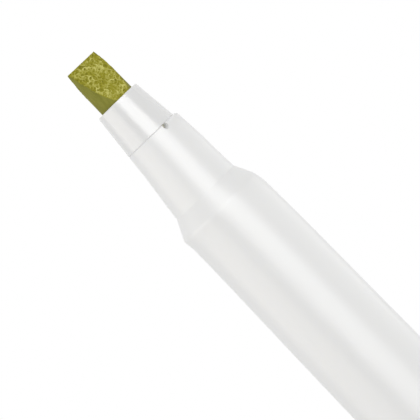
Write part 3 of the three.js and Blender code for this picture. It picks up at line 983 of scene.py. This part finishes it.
def makeCap(values, clip):
    rimHeight = span("cap_shell")[1].z
    rootEnd = clip["start"] + clip["rootLength"]
    clipEnd = clip["start"] + clip["length"]
    bendHeight = clipEnd - clip["tipLength"]

    def outside(height):
        return values["crown"] + (values["rim"] - values["crown"]) * height / rimHeight

    beadTop = rimHeight - values["beadTop"]
    beadFoot = beadTop - values["beadLength"]
    boreShare = (beadFoot - values["crownThickness"]) / (rimHeight - values["crownThickness"])
    boreAtBead = values["boreEnd"] + (values["mouth"] - values["boreEnd"]) * boreShare
    cap = turnPiece(
        "cap_moulding",
        [
            (0, values["gateDepth"]),
            (values["gateRadius"] - values["gateSlope"], values["gateDepth"]),
            (values["gateRadius"], 0),
            (values["crown"], 0, values["crownRound"]),
            (outside(clip["start"]), clip["start"]),
            (outside(rootEnd), rootEnd),
            (outside(rimHeight / 2), rimHeight / 2),
            (values["rim"], rimHeight, values["rimRound"]),
            (values["mouth"], rimHeight, values["mouthRound"]),
            (values["mouth"], beadTop),
            (values["bead"], beadTop - values["beadSlope"]),
            (values["bead"], beadFoot + values["beadSlope"]),
            (boreAtBead, beadFoot),
            (values["boreEnd"], values["crownThickness"]),
            (0, values["crownThickness"]),
        ],
    )
    wallMiddle = (values["crown"] + values["boreEnd"]) / 2
    inside = outside(rootEnd) + clip["gap"]
    outsideX = inside + clip["thickness"]
    rootMiddle = (clip["start"] + rootEnd) / 2

    # The root grows out of the wall, and is flattened where the arm's inner side will be
    def onRoot(face):
        centre = face.calc_center_median()
        angle = abs(math.atan2(centre.y, centre.x))
        return (
            angle < clip["halfFacets"] * facet
            and clip["start"] * mm < centre.z < rootEnd * mm
            and centre.xy.length > wallMiddle * mm
        )

    pick(cap, "faces", onRoot)
    widen = clip["width"] / 2 / (outside(rootMiddle) * math.sin(clip["halfFacets"] * facet))
    extrude(clip["gap"], 0, 0)
    bpy.ops.transform.resize(value=(0, widen, 1), center_override=(inside * mm, 0, rootMiddle * mm))
    extrude(clip["thickness"], 0, 0)
    # The arm rises from the top of the root's outer half, and its end bends in to grip
    pick(
        cap,
        "faces",
        lambda f: f.normal.z > facing
        and abs(f.calc_center_median().z - rootEnd * mm) < closeTo * mm
        and inside * mm < f.calc_center_median().x < outsideX * mm,
    )
    extrude(0, 0, bendHeight - rootEnd)
    tipInside = outside(clipEnd) + clip["tipGap"]
    tipMiddle = tipInside + clip["tipThickness"] / 2
    shift = tipMiddle - (inside + outsideX) / 2
    extrude(shift, 0, clip["tipLength"])
    thinner = clip["tipThickness"] / clip["thickness"]
    bpy.ops.transform.resize(value=(thinner, 1, 1), center_override=(tipMiddle * mm, 0, clipEnd * mm))

    def onClip(face):
        centre = face.calc_center_median()
        return centre.x > (values["rim"] + closeTo) * mm or (
            centre.x > wallMiddle * mm
            and (clip["start"] - closeTo) * mm < centre.z < (rootEnd + closeTo) * mm
            and abs(centre.y) < (clip["width"] / 2 + testMargin) * mm
            and (abs(face.normal.z) > facing or abs(face.normal.y) > facing)
        )

    pick(cap, "faces", onClip)
    bpy.ops.mesh.dissolve_limited(angle_limit=math.radians(clip["flatAngle"]))
    # Rounds: first the two bends of the outer side, then every edge of the clip
    pick(
        cap,
        "edges",
        lambda e: all(v.co.x > (outsideX - closeTo) * mm for v in e.verts)
        and abs(e.verts[0].co.z - e.verts[1].co.z) < closeTo * mm
        and any(abs(e.verts[0].co.z - h * mm) < closeTo * mm for h in (clip["start"], bendHeight)),
    )
    bpy.ops.mesh.bevel(offset=clip["cornerRound"] * mm, segments=roundSteps, affect="EDGES")

    def isClipEdge(edge):
        if len(edge.link_faces) != 2 or not all(onClip(f) for f in edge.link_faces):
            return False
        return edge.calc_face_angle(0) > math.radians(clip["edgeAngle"]) and edge.is_convex

    pick(cap, "edges", isClipEdge)
    bpy.ops.mesh.bevel(
        offset=clip["edgeRound"] * mm, segments=clip["edgeSteps"], affect="EDGES", clamp_overlap=True
    )
    tidyMesh()
    finishPiece(cap, "cap_shell", "cap", [olivePolypropylene])


makeCap(capShape, clipShape)

# Cap liner: a soft cup that seals on the nib holder when the cap is on the nib
linerShape = {
    "skirtBottom": 4.795,
    "skirtTop": 4.874,
    "skirtInside": 3.995,
    "skirtHeight": 10.55,
    "floorHeight": 11.35,
    "cup": 4.465,
    "mouth": 3.665,
    "boreEnd": 3.465,
    "leadWidth": 0.25,
    "leadLength": 0.5,
    "edgeRound": 0.15,
    "mouthRound": 0.1,
    "leadRound": 0.3,
    "seatRound": 0.6,
}


def makeLiner(values):
    low, high = span("cap_liner")
    liner = turnPiece(
        "cap_liner_moulding",
        [
            (0, values["skirtHeight"]),
            (values["skirtInside"], values["skirtHeight"]),
            (values["skirtInside"], low.z),
            (values["skirtBottom"], low.z, values["edgeRound"]),
            (values["skirtTop"], values["skirtHeight"], values["edgeRound"]),
            (values["cup"], values["floorHeight"]),
            (values["cup"], high.z, values["edgeRound"]),
            (values["mouth"] + values["leadWidth"], high.z, values["mouthRound"]),
            (values["mouth"], high.z - values["leadLength"], values["leadRound"]),
            (values["boreEnd"], values["floorHeight"], values["seatRound"]),
            (0, values["floorHeight"]),
        ],
    )
    finishPiece(liner, "cap_liner", "cap", [naturalPolyethylene])


makeLiner(linerShape)

# What the barrel hides keeps its CAD shape, with finishes of its own.
# Reservoir: acetate fibre drawn out and bundled along the pen, so its ends show as fine grain.
bundle = {
    "colour": "#7d7f2c",
    "paintedGapShadeColour": "#5f611c",
    "roughness": 0.9,
    "ior": 1.47,
    "fibreSize": 0.2,  # mm, coarser than the real 0.03 mm so that it shows
    "fibreStretch": 0.04,
    "gapDepth": 0.05,
}


def bundledFibre(values):
    material, tree, shader, inMm = startMaterial("bundled_acetate_fibre", values)
    along = addNode(tree, "ShaderNodeMapping", {"Vector": inMm, "Scale": (1, 1, values["fibreStretch"])})
    fibres = addNode(
        tree,
        "ShaderNodeTexVoronoi",
        {"Vector": along.outputs["Vector"], "Scale": 1 / values["fibreSize"]},
    )
    # The colour darkens towards the gaps between fibres, as painted shade
    tone = addNode(
        tree,
        "ShaderNodeMix",
        {0: fibres.outputs["Distance"], 6: colour(values["colour"]), 7: colour(values["paintedGapShadeColour"])},
        data_type="RGBA",
    )
    tree.links.new(tone.outputs[2], shader.inputs["Base Color"])
    bump = addNode(
        tree,
        "ShaderNodeBump",
        {"Height": fibres.outputs["Distance"], "Distance": -values["gapDepth"] * mm},
    )
    tree.links.new(bump.outputs["Normal"], shader.inputs["Normal"])
    return material


# Film sleeve: polypropylene film, drawn thin and clear, with faint crinkles along it
sleeve = {
    "colour": "#eef0e6",
    "roughness": 0.12,
    "ior": 1.49,
    "crinkleSize": 1.5,  # mm
    "crinkleDepth": 0.01,
    "clearness": 0.85,
}


def clearFilmMaterial(values):
    material, tree, shader, inMm = startMaterial("clear_polypropylene_film", values)
    shader.inputs["Transmission Weight"].default_value = values["clearness"]
    crinkle = addNode(
        tree, "ShaderNodeTexNoise", {"Vector": inMm, "Scale": 1 / values["crinkleSize"], "Detail": 2}
    )
    bump = addNode(
        tree,
        "ShaderNodeBump",
        {"Height": crinkle.outputs["Fac"], "Distance": values["crinkleDepth"] * mm},
    )
    tree.links.new(bump.outputs["Normal"], shader.inputs["Normal"])
    return material


for nodeName, material in (
    ("reservoir_core", bundledFibre(bundle)),
    ("reservoir_film", clearFilmMaterial(sleeve)),
    ("breather_tube", naturalPolyethylene),
):
    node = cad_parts[nodeName]
    if not node.material_slots:
        node.data.materials.append(material)
    for materialSlot in node.material_slots:
        materialSlot.material = material
print("Inner pieces finished")

# World: white to the camera, in reflections and through clear film, and a little dimmer as light
studio = {
    "fill": 0.96,  # its strength as light
    "floorRadius": 0.7,  # metres
    "floorSides": 96,
    "floorColour": "#e6e6e6",
    "floorRoughness": 0.9,
    "floorSpecular": 0.1,
    "floorLift": 0.35,  # what it shines towards the camera
}
world = bpy.data.worlds.new("studio")
bpy.context.scene.world = world
world.use_nodes = True
worldTree = world.node_tree
background = worldTree.nodes["Background"]
background.inputs["Color"].default_value = (1, 1, 1, 1)
rays = addNode(worldTree, "ShaderNodeLightPath")
seen = addNode(
    worldTree,
    "ShaderNodeMath",
    {0: rays.outputs["Is Camera Ray"], 1: rays.outputs["Is Glossy Ray"]},
    operation="MAXIMUM",
)
seenThrough = addNode(
    worldTree,
    "ShaderNodeMath",
    {0: seen.outputs["Value"], 1: rays.outputs["Is Transmission Ray"]},
    operation="MAXIMUM",
)
strength = addNode(
    worldTree,
    "ShaderNodeMapRange",
    {"Value": seenThrough.outputs["Value"], "To Min": studio["fill"], "To Max": 1},
)
worldTree.links.new(strength.outputs["Result"], background.inputs["Strength"])

# Floor: a pale sheet that is lifted to white for the camera, so that it keeps only the shadow
bpy.ops.object.select_all(action="DESELECT")
bpy.ops.mesh.primitive_circle_add(
    vertices=studio["floorSides"], radius=studio["floorRadius"], fill_type="NGON"
)
floor = bpy.context.object
floor.name = "floor"
paper = bpy.data.materials.new("white_paper")
paper.use_nodes = True
paperTree = paper.node_tree
paperShader = paperTree.nodes["Principled BSDF"]
paperShader.inputs["Base Color"].default_value = colour(studio["floorColour"])
paperShader.inputs["Roughness"].default_value = studio["floorRoughness"]
paperShader.inputs["Specular IOR Level"].default_value = studio["floorSpecular"]
paperShader.inputs["Emission Color"].default_value = (1, 1, 1, 1)
paperRays = addNode(paperTree, "ShaderNodeLightPath")
lift = addNode(
    paperTree,
    "ShaderNodeMath",
    {0: paperRays.outputs["Is Camera Ray"], 1: studio["floorLift"]},
    operation="MULTIPLY",
)
paperTree.links.new(lift.outputs["Value"], paperShader.inputs["Emission Strength"])
floor.data.materials.append(paper)

# Lamps: soft boxes round the pen. Azimuth 0 is in front, and 90 is on the clip's side.
lamps = [
    # name, colour, azimuth, distance in metres, width, height, middle height, radiance
    ("key", "#ffffff", -8, 0.6, 0.58, 1.25, 0.6, 5.9),
    ("left", "#fff9f0", -99, 0.6, 0.8, 0.6, 0.26, 2.7),
    ("right", "#ffffff", 67, 0.6, 1.1, 0.16, 0.08, 2.2),
]
for name, tint, azimuth, distance, width, height, middle, radiance in lamps:
    light = bpy.data.lights.new(name + "_softbox", "AREA")
    light.shape = "RECTANGLE"
    light.size = width
    light.size_y = height
    light.color = colour(tint)[:3]
    light.energy = radiance * math.pi * width * height
    lamp = bpy.data.objects.new(light.name, light)
    bpy.context.scene.collection.objects.link(lamp)
    away = Vector((math.sin(math.radians(azimuth)), -math.cos(math.radians(azimuth)), 0))
    lamp.location = away * distance + Vector((0, 0, middle))
    lamp.rotation_euler = away.to_track_quat("Z", "Y").to_euler()
    lamp.visible_camera = False
    lamp.visible_diffuse = False
print("Studio lit")

# Camera: placed so that the nib's edge and the pen's axis fall where the photograph has them
view = {
    "imageSide": 420,  # pixels
    "pixelsPerMm": 8,
    "tipPixel": (80.1, 63.1),  # centre of the nib's edge
    "axisAngle": 45.75,  # degrees below the image's right, from the nib to the tail
    "elevation": 1.5,
    "lens": 300,  # mm
    "sensorWidth": 36,
    "nearest": 0.01,  # metres
    "furthest": 20,
}
turn = math.radians(viewAzimuth)
rise = math.radians(view["elevation"])
back = Vector((math.sin(turn) * math.cos(rise), -math.cos(turn) * math.cos(rise), math.sin(rise)))
levelUp = back.cross(viewSide)
axis = math.radians(view["axisAngle"])
imageRight = viewSide * math.sin(axis) - levelUp * math.cos(axis)
imageUp = viewSide * math.cos(axis) + levelUp * math.sin(axis)
middlePixel = (view["imageSide"] - 1) / 2
toRight = (middlePixel - view["tipPixel"][0]) / view["pixelsPerMm"]
toBottom = (middlePixel - view["tipPixel"][1]) / view["pixelsPerMm"]
tip = Vector((0, 0, tipHeight))
centre = (tip + imageRight * toRight - imageUp * toBottom) * mm
frameWidth = view["imageSide"] / view["pixelsPerMm"] * mm
camera = bpy.data.cameras.new("photo_camera")
camera.lens = view["lens"]
camera.sensor_width = view["sensorWidth"]
camera.clip_start = view["nearest"]
camera.clip_end = view["furthest"]
cameraObject = bpy.data.objects.new("photo_camera", camera)
bpy.context.scene.collection.objects.link(cameraObject)
turned = Matrix((imageRight, imageUp, back)).transposed().to_4x4()
stand = centre + back * frameWidth * view["lens"] / view["sensorWidth"]
cameraObject.matrix_world = Matrix.Translation(stand) @ turned
bpy.context.scene.camera = cameraObject
bpy.context.scene.view_settings.view_transform = "Standard"
print("Camera placed")
